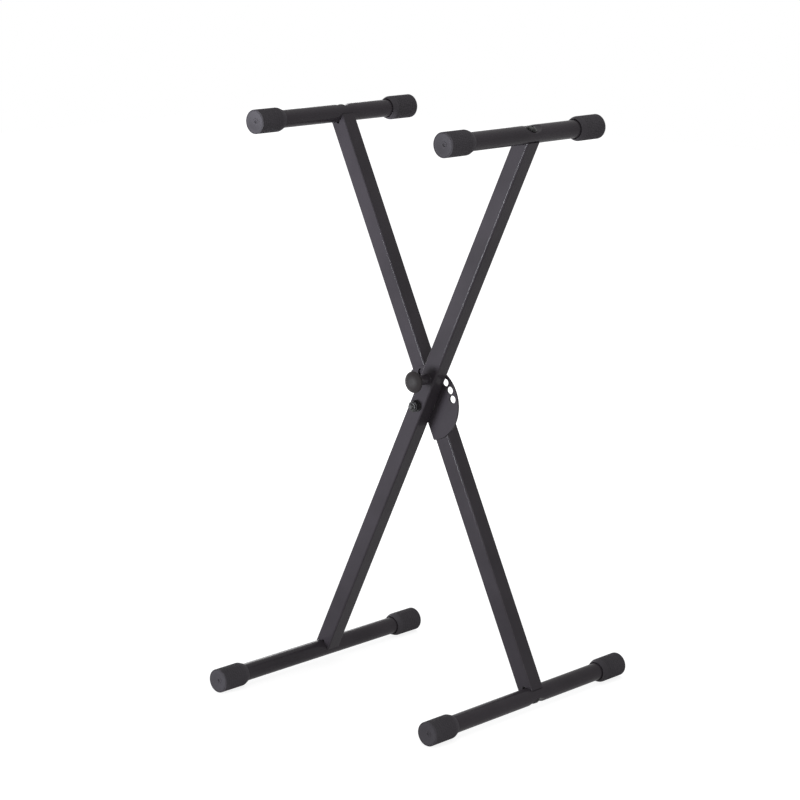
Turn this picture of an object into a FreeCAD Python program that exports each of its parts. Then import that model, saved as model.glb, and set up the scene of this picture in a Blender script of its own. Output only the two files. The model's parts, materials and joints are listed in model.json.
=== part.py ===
import FreeCAD, Part
import math
import os

import Sketcher

# X-shaped keyboard stand: two crossed square legs on a pivot bolt, a locking plate with a spring pin,
# and round crossbars with rubber end caps bolted to the coped leg ends.
# +Z is up, the bars run along Y, and the origin is on the floor below the middle of the stand.

Vector = FreeCAD.Vector

# Driving sizes in millimetres and degrees: name, value, meaning
SIZES = (
    ("half_angle", 25, "lean of each leg from upright at the highest setting"),
    ("leg_width", 30, "side of the square leg tube"),
    ("leg_wall", 1.2, "wall of the leg tube"),
    ("leg_corner", 3, "outer corner radius of the leg tube"),
    ("leg_reach", 512, "pivot to the axis of a crossbar, along the leg"),
    ("lip_setback", 7, "crossbar axis to the cut end of the leg"),
    ("saddle_gap", 0.3, "gap between the coped leg end and the bar"),
    ("relief_radius", 3, "relief notch at the crown of the cope"),
    ("bar_diameter", 29.5, "outside of a crossbar tube"),
    ("bar_wall", 1.2, "wall of a crossbar tube"),
    ("top_bar_length", 370, "upper crossbar without its caps"),
    ("foot_bar_length", 485, "foot crossbar without its caps"),
    ("bar_offset", 18, "middle of a crossbar in front of the middle of its leg"),
    ("dimple_radius", 36, "sweep of the pressed dimple along the bar"),
    ("dimple_depth", 6, "depth of the pressed dimple"),
    ("cap_diameter", 40, "outside of a rubber end cap"),
    ("cap_length", 59, "end cap from its mouth to its end face"),
    ("cap_end", 5, "thickness of the closed end of a cap"),
    ("cap_taper", 8, "length of the tapered shoulder at the mouth"),
    ("cap_lip", 2, "bar to the outside of the rubber at the mouth"),
    ("cap_round", 2, "rounding of the closed end"),
    ("cap_shoulder", 5, "rounding of the tapered shoulder"),
    ("cap_fit", 0.1, "gap between a cap and its bar"),
    ("cap_flare", 1.2, "opening of the mouth round the bar"),
    ("cap_flare_depth", 5, "depth of that opening"),
    ("cap_pip", 5, "diameter of the moulded dimple in the end face"),
    ("cap_pip_depth", 1, "depth of the moulded dimple in the end face"),
    ("bolt_diameter", 8, "crossbar bolt"),
    ("bolt_length", 50, "crossbar bolt below its head"),
    ("bolt_head", 15, "diameter of the crossbar bolt head"),
    ("bolt_head_height", 3.2, "height of the crossbar bolt head"),
    ("bolt_head_rim", 1.2, "straight part of the crossbar bolt head"),
    ("bolt_head_crown", 8, "flat on top of the crossbar bolt head"),
    ("bolt_gap", 0.3, "gap round a bolt in its clearance hole"),
    ("thread_gap", 0.05, "gap that stands for a thread"),
    ("washer_diameter", 18, "washer below the crossbar bolt head"),
    ("washer_thickness", 1.2, "washer below the crossbar bolt head"),
    ("seat_gap", 0.02, "gap below the rim of that washer in the dimple"),
    ("insert_length", 32, "threaded plug in a leg end"),
    ("insert_fit", 0.15, "gap between a plug and the leg wall"),
    ("insert_setback", 2, "gap between a plug and the bar"),
    ("pivot_diameter", 10, "pivot bolt"),
    ("pivot_play", 0.05, "running gap round the pivot bolt"),
    ("pivot_head_flats", 17, "hexagon of the pivot bolt head and nut"),
    ("pivot_head_height", 6.4, "height of the pivot bolt head"),
    ("pivot_end", 4, "pivot bolt beyond its nut"),
    ("nut_hex_height", 7.5, "hexagon of the pivot nut"),
    ("nut_collar", 14.5, "diameter of the locking collar on the pivot nut"),
    ("nut_collar_height", 2.5, "height of the locking collar"),
    ("pivot_washer", 20, "diameter of a pivot washer"),
    ("pivot_washer_thickness", 2, "thickness of a pivot washer"),
    ("sleeve_diameter", 16, "sleeve round the pivot bolt inside a leg"),
    ("spacer_diameter", 29, "nylon spacer between the front leg and the plate"),
    ("spacer_thickness", 1.9, "nylon spacer between the front leg and the plate"),
    ("plate_play", 0.1, "running gap between that spacer and the plate"),
    ("plate_radius", 63, "curved edge of the locking plate"),
    ("plate_thickness", 3, "locking plate"),
    ("plate_overhang", 1, "straight edge of the plate beyond the leg"),
    ("plate_corner", 3, "rounding of the two ends of the straight edge"),
    ("lock_radius", 52.5, "pivot to the locking pin"),
    ("lock_pitch", 17, "angle from one locking hole to the next"),
    ("fold_angle", 45, "turn from the highest setting to folded flat"),
    ("pin_diameter", 12, "locking pin"),
    ("pin_play", 0.05, "running gap round the locking pin in its housing"),
    ("pin_hole_gap", 0.4, "gap round the locking pin in a plate hole"),
    ("pin_chamfer", 0.5, "bevel at the tip of the locking pin"),
    ("tip_gap", 0.3, "drawn pin tip to the plate"),
    ("home_gap", 0.1, "pin tip to the back of the plate with the pin home"),
    ("plunger_length", 22, "thick part of the locking pin"),
    ("stem_diameter", 8, "thin part of the locking pin"),
    ("housing_diameter", 16.5, "pin housing"),
    ("housing_reach", 19, "pin housing in front of the leg"),
    ("housing_cap", 3, "front wall of the pin housing"),
    ("housing_fit", 0.05, "gap between the housing and the leg"),
    ("housing_bevel", 1, "bevel at the front of the housing"),
    ("spring_wire", 1.2, "wire of the locking spring"),
    ("spring_coils", 6, "turns of the locking spring"),
    ("spring_seat", 0.2, "gap at each end of the locking spring"),
    ("knob_diameter", 36, "pull knob"),
    ("knob_length", 17, "pull knob"),
    ("knob_neck", 19, "diameter of the neck of the knob"),
    ("knob_neck_length", 5, "straight neck of the knob"),
    ("knob_flare", 4, "length of the flare between neck and rim"),
    ("knob_rim", 2.5, "width of the rim of the knob"),
    ("knob_crown", 18, "diameter of the flat before the dome of the knob is rounded"),
    ("knob_dome", 14, "rounding of that flat"),
    ("knob_round", 2.4, "rounding of the rim of the knob"),
    ("knob_socket", 12, "depth of the stem in the knob"),
    ("knob_gap", 0.5, "knob to the housing with the pin home"),
)

LOCK_STEPS = 4
SPRING_SAMPLES = 24

doc = FreeCAD.newDocument("keyboard_stand")
sheet = doc.addObject("Spreadsheet::Sheet", "size")
for row, (alias, number, meaning) in enumerate(SIZES, start=1):
    sheet.set(f"A{row}", alias)
    sheet.set(f"B{row}", str(number))
    sheet.set(f"C{row}", meaning)
    sheet.setAlias(f"B{row}", alias)
doc.recompute()

# Lengths that follow from the driving sizes
LEG_HALF = "size.leg_width / 2"
LEG_INSIDE = "(size.leg_width - 2 * size.leg_wall)"
BAR_RADIUS = "size.bar_diameter / 2"
PIVOT_BORE = "(size.pivot_diameter / 2 + size.pivot_play)"
PIN_HOLE = "(size.pin_diameter / 2 + size.pin_hole_gap)"
PLATE_CHORD = f"({LEG_HALF} + size.plate_overhang)"
ENGAGED_ANGLE = "2 * size.half_angle"
PIVOT_HEIGHT = "(size.cap_diameter / 2 + size.leg_reach * cos(size.half_angle))"
LEG_GAP = "(size.plate_thickness + size.spacer_thickness + size.plate_play)"
FRONT_LEG_Y = f"(size.bar_offset - (size.leg_width + {LEG_GAP}) / 2)"
REAR_LEG_Y = f"(size.bar_offset + (size.leg_width + {LEG_GAP}) / 2)"
DIMPLE_FLOOR = f"(size.leg_reach + {BAR_RADIUS} - size.dimple_depth)"
WASHER_SINK = "(size.dimple_radius - sqrt(size.dimple_radius ^ 2 - size.washer_diameter ^ 2 / 4))"
WASHER_SEAT = f"({DIMPLE_FLOOR} + {WASHER_SINK} + size.seat_gap)"
PIN_TIP = f"({LEG_HALF} + size.spacer_thickness + size.plate_play - size.tip_gap)"
PIN_SHOULDER = f"(size.plunger_length - {PIN_TIP})"
HOUSING_LENGTH = "(size.leg_width + size.housing_reach)"
CHAMBER_END = f"({LEG_HALF} + size.housing_reach - size.housing_cap)"
PIN_TRAVEL = "(size.tip_gap + size.plate_thickness - size.home_gap)"
KNOB_BACK = f"({LEG_HALF} + size.housing_reach + {PIN_TRAVEL} + size.knob_gap)"

X_AXIS = "vector(1; 0; 0)"
Y_AXIS = "vector(0; 1; 0)"
Z_AXIS = "vector(0; 0; 1)"


def value(expression):
    return float(sheet.evalExpression(expression))


def spot(x="0", y="0", z="0", axis=Z_AXIS, angle="0"):
    return f"placement(vector({x}; {y}; {z}); rotation({axis}; {angle}))"


# Each frame has its origin at the pivot in the middle of a leg and +Z along the leg to one of its ends
FRAMES = {
    ("front", "top"): spot(y=FRONT_LEG_Y, z=PIVOT_HEIGHT, axis=Y_AXIS, angle="size.half_angle"),
    ("front", "foot"): spot(y=FRONT_LEG_Y, z=PIVOT_HEIGHT, axis=Y_AXIS, angle="size.half_angle + 180"),
    ("rear", "top"): spot(y=REAR_LEG_Y, z=PIVOT_HEIGHT, axis=Y_AXIS, angle="-size.half_angle"),
    ("rear", "foot"): spot(y=REAR_LEG_Y, z=PIVOT_HEIGHT, axis=Y_AXIS, angle="180 - size.half_angle"),
}
TO_VIEWER = spot(axis=X_AXIS, angle="90")
TO_BACK = spot(axis=X_AXIS, angle="-90")

pieces = {}


def keep(label, piece, where):
    piece.Label = label
    piece.setExpression("Placement", where)
    pieces[label] = piece
    return piece


# Sketches

def new_sketch(body, plane_role, label):
    plane = [item for item in body.Origin.OriginFeatures if item.Role == plane_role][0]
    sketch = body.newObject("Sketcher::SketchObject", label)
    sketch.AttachmentSupport = [(plane, "")]
    sketch.MapMode = "FlatFace"
    return sketch


def constrain(sketch, expression, kind, *where):
    index = sketch.addConstraint(Sketcher.Constraint(kind, *where, value(expression)))
    sketch.setExpression(f"Constraints[{index}]", expression)


def pin_point(sketch, geometry, point, x, y):
    constrain(sketch, x, "DistanceX", -1, 1, geometry, point)
    constrain(sketch, y, "DistanceY", -1, 1, geometry, point)


def draw_circle(sketch, radius, x="0", y="0"):
    middle = Vector(value(x), value(y), 0)
    circle = sketch.addGeometry(Part.Circle(middle, Vector(0, 0, 1), value(radius)))
    constrain(sketch, radius, "Radius", circle)
    pin_point(sketch, circle, 3, x, y)


def draw_outline(sketch, points):
    corners = [Vector(value(x), value(y), 0) for x, y in points]
    count = len(corners)
    for index in range(count):
        sketch.addGeometry(Part.LineSegment(corners[index], corners[(index + 1) % count]))
    for index, (x, y) in enumerate(points):
        sketch.addConstraint(Sketcher.Constraint("Coincident", index, 2, (index + 1) % count, 1))
        pin_point(sketch, index, 1, x, y)


def draw_square(sketch, side):
    half = f"{side} / 2"
    draw_outline(sketch, [(f"-{half}", f"-{half}"), (half, f"-{half}"), (half, half), (f"-{half}", half)])


# Features

def pad(body, sketch, length, label):
    feature = body.newObject("PartDesign::Pad", label)
    feature.Profile = sketch
    feature.SideType = "Symmetric"
    feature.setExpression("Length", length)
    doc.recompute()
    return feature


def drill(body, sketch, label):
    before = body.Shape.Volume
    feature = body.newObject("PartDesign::Pocket", label)
    feature.Profile = sketch
    feature.Type = "ThroughAll"
    feature.SideType = "Symmetric"
    doc.recompute()
    if feature.Shape.Volume >= before:
        raise RuntimeError(f"{label} cuts nothing")
    return feature


def round_edges(body, base, radius, label, chosen):
    names = [f"Edge{index}" for index, edge in enumerate(base.Shape.Edges, start=1) if chosen(edge)]
    feature = body.newObject("PartDesign::Fillet", label)
    feature.Base = (base, names)
    feature.setExpression("Radius", radius)
    doc.recompute()
    return feature


def near(first, second):
    return abs(first - second) < 0.001


def long_corner(half):
    size = value(half)

    def chosen(edge):
        middle = edge.CenterOfMass
        along_z = near(edge.BoundBox.ZLength, edge.Length)
        return along_z and near(abs(middle.x), size) and near(abs(middle.y), size)

    return chosen


def ring(radius, height):
    size = value(radius)
    level = value(height)

    def chosen(edge):
        box = edge.BoundBox
        return near(box.XLength, 2 * size) and near(box.ZMin, level) and near(box.ZMax, level)

    return chosen


def turned(label, outline, where, rounds=()):
    body = doc.addObject("PartDesign::Body", label)
    sketch = new_sketch(body, "XZ_Plane", f"{label}_section")
    draw_outline(sketch, outline)
    feature = body.newObject("PartDesign::Revolution", f"{label}_turn")
    feature.Profile = sketch
    feature.ReferenceAxis = (sketch, ["V_Axis"])
    feature.Angle = 360
    doc.recompute()
    for index, (rounding, radius, height) in enumerate(rounds):
        feature = round_edges(body, feature, rounding, f"{label}_round_{index}", ring(radius, height))
    return keep(label, body, where)


def tube(label, outside, inside, length, where):
    outline = [(inside, "0"), (outside, "0"), (outside, length), (inside, length)]
    return turned(label, outline, where)


def rod(label, radius, length, where):
    cylinder = doc.addObject("Part::Cylinder", label)
    cylinder.setExpression("Radius", radius)
    cylinder.setExpression("Height", length)
    cylinder.setExpression("Placement", where)
    return cylinder


def hexagon(label, flats, length, where):
    prism = doc.addObject("Part::Prism", label)
    prism.Polygon = 6
    prism.setExpression("Circumradius", f"{flats} / 2 / cos(30)")
    prism.setExpression("Height", length)
    prism.setExpression("Placement", where)
    return prism


def combine(kind, label, base, tool):
    result = doc.addObject(kind, label)
    result.Base = base
    result.Tool = tool
    result.Refine = True
    return result


def cut(label, base, tool):
    return combine("Part::Cut", label, base, tool)


def fuse(label, base, tool):
    return combine("Part::Fuse", label, base, tool)


# Legs: square tubes, coped at both ends round the crossbars

def make_leg(label, frame):
    body = doc.addObject("PartDesign::Body", label)
    section = new_sketch(body, "XY_Plane", f"{label}_section")
    draw_square(section, "size.leg_width")
    blank = pad(body, section, "2 * (size.leg_reach - size.lip_setback)", f"{label}_blank")
    round_edges(body, blank, "size.leg_corner", f"{label}_corners", long_corner(LEG_HALF))
    hollow = new_sketch(body, "XY_Plane", f"{label}_hollow")
    draw_square(hollow, LEG_INSIDE)
    bore = drill(body, hollow, f"{label}_bore")
    inner_corner = "size.leg_corner - size.leg_wall"
    round_edges(body, bore, inner_corner, f"{label}_inner_corners", long_corner(f"{LEG_INSIDE} / 2"))
    saddles = new_sketch(body, "XZ_Plane", f"{label}_saddles")
    reliefs = new_sketch(body, "XZ_Plane", f"{label}_reliefs")
    saddle_radius = f"({BAR_RADIUS} + size.saddle_gap)"
    for sign in ("", "-"):
        draw_circle(saddles, saddle_radius, y=f"{sign}size.leg_reach")
        draw_circle(reliefs, "size.relief_radius", y=f"{sign}(size.leg_reach - {saddle_radius})")
    draw_circle(saddles, PIVOT_BORE)
    drill(body, saddles, f"{label}_copes")
    drill(body, reliefs, f"{label}_notches")
    return keep(label, body, FRAMES[frame, "top"])


front_leg = make_leg("front_leg", "front")
housing_hole = new_sketch(front_leg, "XZ_Plane", "front_leg_housing_hole")
draw_circle(housing_hole, "size.housing_diameter / 2 + size.housing_fit", y="size.lock_radius")
drill(front_leg, housing_hole, "front_leg_housing_seat")

make_leg("rear_leg", "rear")


# Locking plate: a disc cut off along the rear leg, with a hole for each height and one for folded

def lock_hole(sketch, angle):
    draw_circle(sketch, PIN_HOLE, f"size.lock_radius * sin({angle})", f"size.lock_radius * cos({angle})")


def make_plate():
    body = doc.addObject("PartDesign::Body", "lock_plate")
    sketch = new_sketch(body, "XZ_Plane", "lock_plate_outline")
    radius = value("size.plate_radius")
    chord = value(PLATE_CHORD)
    sweep = math.pi - math.acos(chord / radius)
    circle = Part.Circle(Vector(0, 0, 0), Vector(0, 0, 1), radius)
    arc = sketch.addGeometry(Part.ArcOfCircle(circle, -sweep, sweep))
    half_chord = math.sqrt(radius ** 2 - chord ** 2)
    line = sketch.addGeometry(Part.LineSegment(Vector(-chord, half_chord, 0), Vector(-chord, -half_chord, 0)))
    sketch.addConstraint(Sketcher.Constraint("Coincident", arc, 3, -1, 1))
    sketch.addConstraint(Sketcher.Constraint("Coincident", arc, 2, line, 1))
    sketch.addConstraint(Sketcher.Constraint("Coincident", line, 2, arc, 1))
    sketch.addConstraint(Sketcher.Constraint("Vertical", line))
    constrain(sketch, "size.plate_radius", "Radius", arc)
    constrain(sketch, f"-{PLATE_CHORD}", "DistanceX", -1, 1, line, 1)
    draw_circle(sketch, PIVOT_BORE)
    for step in range(LOCK_STEPS):
        lock_hole(sketch, f"{ENGAGED_ANGLE} + {step} * size.lock_pitch")
    lock_hole(sketch, f"{ENGAGED_ANGLE} - size.fold_angle")
    plate = pad(body, sketch, "size.plate_thickness", "lock_plate_blank")

    def chord_end(edge):
        middle = edge.CenterOfMass
        return near(middle.x, -chord) and near(abs(middle.z), half_chord)

    round_edges(body, plate, "size.plate_corner", "lock_plate_corners", chord_end)
    front_of_leg = spot(y=f"-(size.leg_width + size.plate_thickness) / 2")
    keep("lock_plate", body, f"{FRAMES['rear', 'top']} * {front_of_leg}")


make_plate()


# Crossbars: round tubes with a dimple pressed into the side away from the leg for the bolt head

def make_bar(label, frame, length):
    along = spot(y=f"-{length} / 2 - size.bar_offset", z="size.leg_reach", axis=X_AXIS, angle="-90")
    across = spot(x="-size.bar_diameter", z=f"{DIMPLE_FLOOR} + size.dimple_radius", axis=Y_AXIS, angle="90")
    outside = rod(f"{label}_outside", BAR_RADIUS, length, along)
    inside = rod(f"{label}_inside", f"{BAR_RADIUS} - size.bar_wall", length, along)
    dimple = rod(f"{label}_dimple", "size.dimple_radius", "2 * size.bar_diameter", across)
    dimple_back = rod(f"{label}_dimple_back", "size.dimple_radius + size.bar_wall",
                      "2 * size.bar_diameter", across)
    bolt_hole = rod(f"{label}_bolt_hole", "size.bolt_diameter / 2 + size.bolt_gap",
                    "2 * size.bar_diameter", spot(z="size.leg_reach - size.bar_diameter"))
    pressed = cut(f"{label}_pressed", outside, dimple)
    hollow = cut(f"{label}_hollow", inside, dimple_back)
    walls = cut(f"{label}_walls", pressed, hollow)
    keep(label, cut(f"{label}_drilled", walls, bolt_hole), frame)


def make_cap(label, frame, length, side):
    mouth = f"({length} / 2 + size.cap_end - size.cap_length)"
    bore = f"({BAR_RADIUS} + size.cap_fit)"
    opening = f"({bore} + size.cap_flare)"
    lip = f"({bore} + size.cap_lip)"
    skin = "size.cap_diameter / 2"
    pip = "size.cap_pip / 2"
    floor = "size.cap_length - size.cap_end"
    pip_floor = "size.cap_length - size.cap_pip_depth"
    outline = [
        (opening, "0"), (lip, "0"), (skin, "size.cap_taper"), (skin, "size.cap_length"),
        (pip, "size.cap_length"), (pip, pip_floor), ("0", pip_floor), ("0", floor), (bore, floor),
        (bore, "size.cap_flare_depth"),
    ]
    rounds = [
        ("size.cap_round", skin, "size.cap_length"),
        ("size.cap_shoulder", skin, "size.cap_taper"),
    ]
    sign, turn = {"front": ("-", TO_VIEWER), "back": ("", TO_BACK)}[side]
    where = spot(y=f"{sign}{mouth} - size.bar_offset", z="size.leg_reach")
    turned(label, outline, f"{frame} * {where} * {turn}", rounds)


def make_bolt(label, frame):
    shank = "size.bolt_diameter / 2"
    head = "size.bolt_head / 2"
    outline = [
        ("0", "-size.bolt_length"), (shank, "-size.bolt_length"), (shank, "0"), (head, "0"),
        (head, "size.bolt_head_rim"), ("size.bolt_head_crown / 2", "size.bolt_head_height"),
        ("0", "size.bolt_head_height"),
    ]
    turned(label, outline, f"{frame} * {spot(z=f'{WASHER_SEAT} + size.washer_thickness')}")


def make_insert(label, frame):
    body = doc.addObject("PartDesign::Body", label)
    side = f"({LEG_INSIDE} - 2 * size.insert_fit)"
    section = new_sketch(body, "XY_Plane", f"{label}_section")
    draw_square(section, side)
    block = pad(body, section, "size.insert_length", f"{label}_block")
    corner = "size.leg_corner - size.leg_wall"
    round_edges(body, block, corner, f"{label}_corners", long_corner(f"{side} / 2"))
    thread = new_sketch(body, "XY_Plane", f"{label}_thread")
    draw_circle(thread, "size.bolt_diameter / 2 + size.thread_gap")
    drill(body, thread, f"{label}_hole")
    middle = f"size.leg_reach - {BAR_RADIUS} - size.insert_setback - size.insert_length / 2"
    keep(label, body, f"{frame} * {spot(z=middle)}")


BAR_ENDS = (
    ("right_top", "front", "top", "size.top_bar_length"),
    ("left_foot", "front", "foot", "size.foot_bar_length"),
    ("left_top", "rear", "top", "size.top_bar_length"),
    ("right_foot", "rear", "foot", "size.foot_bar_length"),
)
for place, leg, end, bar_length in BAR_ENDS:
    end_frame = FRAMES[leg, end]
    make_bar(f"{place}_bar", end_frame, bar_length)
    for side in ("front", "back"):
        make_cap(f"{place}_{side}_cap", end_frame, bar_length, side)
    make_bolt(f"{place}_bolt", end_frame)
    tube(f"{place}_washer", "size.washer_diameter / 2", "size.bolt_diameter / 2 + size.bolt_gap",
         "size.washer_thickness", f"{end_frame} * {spot(z=WASHER_SEAT)}")
    make_insert(f"{place}_insert", end_frame)


# Pivot: a hexagon bolt from the back, with its nut in front

def at_pivot(y):
    return f"{spot(y=y, z=PIVOT_HEIGHT)} * {TO_VIEWER}"


FRONT_FACE = f"({FRONT_LEG_Y} - {LEG_HALF})"
BACK_FACE = f"({REAR_LEG_Y} + {LEG_HALF})"
GRIP = f"({BACK_FACE} - {FRONT_FACE} + 2 * size.pivot_washer_thickness)"
BOLT_BODY = f"({GRIP} + size.nut_hex_height + size.nut_collar_height + size.pivot_end)"
pivot_shank = rod("pivot_bolt_shank", "size.pivot_diameter / 2", BOLT_BODY, spot())
pivot_head = hexagon("pivot_bolt_head", "size.pivot_head_flats", "size.pivot_head_height",
                     spot(z="-size.pivot_head_height"))
keep("pivot_bolt", fuse("pivot_bolt_whole", pivot_shank, pivot_head),
     at_pivot(f"{BACK_FACE} + size.pivot_washer_thickness"))

nut_hexagon = hexagon("pivot_nut_hexagon", "size.pivot_head_flats", "size.nut_hex_height", spot())
nut_collar = rod("pivot_nut_collar", "size.nut_collar / 2", "size.nut_hex_height + size.nut_collar_height",
                 spot())
nut_thread = rod("pivot_nut_thread", "size.pivot_diameter / 2 + size.thread_gap",
                 "size.nut_hex_height + size.nut_collar_height", spot())
nut_blank = fuse("pivot_nut_blank", nut_hexagon, nut_collar)
keep("pivot_nut", cut("pivot_nut_whole", nut_blank, nut_thread),
     at_pivot(f"{FRONT_FACE} - size.pivot_washer_thickness"))

tube("pivot_front_washer", "size.pivot_washer / 2", PIVOT_BORE, "size.pivot_washer_thickness",
     at_pivot(FRONT_FACE))
tube("pivot_back_washer", "size.pivot_washer / 2", PIVOT_BORE, "size.pivot_washer_thickness",
     at_pivot(f"{BACK_FACE} + size.pivot_washer_thickness"))
tube("pivot_spacer", "size.spacer_diameter / 2", PIVOT_BORE, "size.spacer_thickness",
     at_pivot(f"{FRONT_FACE} + size.leg_width + size.spacer_thickness"))
tube("front_leg_sleeve", "size.sleeve_diameter / 2", PIVOT_BORE, LEG_INSIDE,
     at_pivot(f"{FRONT_LEG_Y} + {LEG_INSIDE} / 2"))
tube("rear_leg_sleeve", "size.sleeve_diameter / 2", PIVOT_BORE, LEG_INSIDE,
     at_pivot(f"{REAR_LEG_Y} + {LEG_INSIDE} / 2"))


# Lock: a spring pin through the front leg, drawn clear of the plate

def at_lock(forward):
    return f"{FRAMES['front', 'top']} * {spot(y=f'-{forward}', z='size.lock_radius')} * {TO_VIEWER}"


PIN_BORE = "(size.pin_diameter / 2 + size.pin_play)"
STEM_BORE = "(size.stem_diameter / 2 + size.pin_play)"
HOUSING_RADIUS = "(size.housing_diameter / 2)"
turned("pin_housing", [
    (PIN_BORE, "0"), (HOUSING_RADIUS, "0"),
    (HOUSING_RADIUS, f"{HOUSING_LENGTH} - size.housing_bevel"),
    (f"{HOUSING_RADIUS} - size.housing_bevel", HOUSING_LENGTH),
    (STEM_BORE, HOUSING_LENGTH), (STEM_BORE, f"{HOUSING_LENGTH} - size.housing_cap"),
    (PIN_BORE, f"{HOUSING_LENGTH} - size.housing_cap"),
], at_lock(f"(-{LEG_HALF})"))

PIN_RADIUS = "size.pin_diameter / 2"
STEM_RADIUS = "size.stem_diameter / 2"
STEM_LENGTH = f"({KNOB_BACK} + size.knob_socket - {PIN_SHOULDER})"
turned("lock_pin", [
    ("0", "-size.plunger_length"), (f"{PIN_RADIUS} - size.pin_chamfer", "-size.plunger_length"),
    (PIN_RADIUS, "size.pin_chamfer - size.plunger_length"), (PIN_RADIUS, "0"),
    (STEM_RADIUS, "0"), (STEM_RADIUS, STEM_LENGTH), ("0", STEM_LENGTH),
], at_lock(PIN_SHOULDER))

KNOB_RADIUS = "size.knob_diameter / 2"
KNOB_BORE = f"({STEM_RADIUS} + size.thread_gap)"
RIM_START = "size.knob_neck_length + size.knob_flare"
RIM_END = f"{RIM_START} + size.knob_rim"
turned("pull_knob", [
    (KNOB_BORE, "0"), ("size.knob_neck / 2", "0"), ("size.knob_neck / 2", "size.knob_neck_length"),
    (KNOB_RADIUS, RIM_START), (KNOB_RADIUS, RIM_END), ("size.knob_crown / 2", "size.knob_length"),
    ("0", "size.knob_length"), ("0", "size.knob_socket"), (KNOB_BORE, "size.knob_socket"),
], at_lock(KNOB_BACK), [
    ("size.knob_dome", "size.knob_crown / 2", "size.knob_length"),
    ("size.knob_round", KNOB_RADIUS, RIM_END),
    ("size.knob_round / 2", KNOB_RADIUS, RIM_START),
])


def make_spring():
    wire = value("size.spring_wire")
    coils = value("size.spring_coils")
    radius = value(f"({PIN_BORE} + {STEM_RADIUS}) / 2")
    rise = value(f"{CHAMBER_END} - {PIN_SHOULDER} - 2 * size.spring_seat - size.spring_wire")
    quarters = round(4 * coils)

    def point(turn):
        angle = 2 * math.pi * turn
        return Vector(radius * math.cos(angle), radius * math.sin(angle), rise * turn / coils)

    edges = []
    for quarter in range(quarters):
        start, middle, end = [point((quarter + share) / 4) for share in (0, 0.5, 1)]
        edges.append(Part.Arc(start, middle, end).toShape())
    section = Part.Circle(point(0), edges[0].tangentAt(edges[0].FirstParameter), wire / 2)
    coil = Part.Wire(edges).makePipeShell([Part.Wire(section.toShape())], True, False)
    one_turn = [point(1 + sample / SPRING_SAMPLES) for sample in range(SPRING_SAMPLES + 1)]
    gap = min(point(0).distanceToPoint(other) for other in one_turn) - wire
    print(f"lock spring: least gap between turns {gap:.2f} mm")
    spring = doc.addObject("Part::Feature", "lock_spring")
    spring.Shape = coil
    keep("lock_spring", spring, at_lock(f"({PIN_SHOULDER} + size.spring_seat + size.spring_wire / 2)"))


make_spring()

doc.recompute()
for item in doc.Objects:
    if "Invalid" in item.State or "Error" in item.State:
        raise RuntimeError(f"{item.Label} failed: {item.State}")
for label, piece in pieces.items():
    shape = piece.Shape
    if shape.isNull() or not shape.isValid() or len(shape.Solids) != 1:
        raise RuntimeError(f"{label} is not one valid solid")

os.makedirs("parts", exist_ok=True)
for label, piece in pieces.items():
    piece.Shape.exportStep(f"parts/{label}.step")
print(f"{len(pieces)} pieces written")
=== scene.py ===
"""Looks of a folding keyboard stand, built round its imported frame. Units are metres."""

import json
import math

import bmesh
import bpy
from mathutils import Matrix, Vector

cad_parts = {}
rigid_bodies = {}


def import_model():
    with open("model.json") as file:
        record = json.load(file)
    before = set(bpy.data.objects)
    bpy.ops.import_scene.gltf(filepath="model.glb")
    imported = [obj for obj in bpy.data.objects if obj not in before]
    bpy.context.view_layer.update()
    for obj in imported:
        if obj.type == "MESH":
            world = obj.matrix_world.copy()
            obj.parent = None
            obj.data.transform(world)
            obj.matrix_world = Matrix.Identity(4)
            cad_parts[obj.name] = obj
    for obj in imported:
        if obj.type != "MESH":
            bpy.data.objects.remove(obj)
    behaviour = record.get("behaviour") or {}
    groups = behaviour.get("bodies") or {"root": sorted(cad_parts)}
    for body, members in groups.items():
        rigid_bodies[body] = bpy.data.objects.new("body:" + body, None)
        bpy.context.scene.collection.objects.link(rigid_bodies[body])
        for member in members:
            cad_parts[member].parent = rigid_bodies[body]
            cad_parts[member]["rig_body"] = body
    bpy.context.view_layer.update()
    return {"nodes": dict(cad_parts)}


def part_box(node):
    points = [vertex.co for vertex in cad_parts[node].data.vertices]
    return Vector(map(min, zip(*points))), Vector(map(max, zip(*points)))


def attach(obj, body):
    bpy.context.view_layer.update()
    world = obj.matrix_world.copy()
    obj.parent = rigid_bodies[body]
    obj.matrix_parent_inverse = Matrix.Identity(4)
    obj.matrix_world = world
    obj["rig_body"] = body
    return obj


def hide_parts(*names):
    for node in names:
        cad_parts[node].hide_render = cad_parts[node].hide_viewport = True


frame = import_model()

MM = 0.001
MERGE_DISTANCE = 0.002 * MM
OVERLAP = 1 * MM  # how far shapes that join or cut reach into each other
BARS = ("right_top", "left_top", "left_foot", "right_foot")
TO_FRONT = Vector((0, -1, 0))
TO_BACK = Vector((0, 1, 0))

# The photograph's camera, for a square picture.
CAMERA_PLACE = Vector((2.7874, -3.2196, 1.3986))
CAMERA_ROUND = math.radians(41.377)
CAMERA_ABOVE = math.radians(12.032)
CAMERA_ROLL = math.radians(0.441)
CAMERA_LENS = 118.35
SENSOR_WIDTH = 36

# Legs and crossbars.
LEG_LEAN = math.radians(25)
BAR_RADIUS = 14.75 * MM
LEG_WIDTH = 30 * MM

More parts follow.
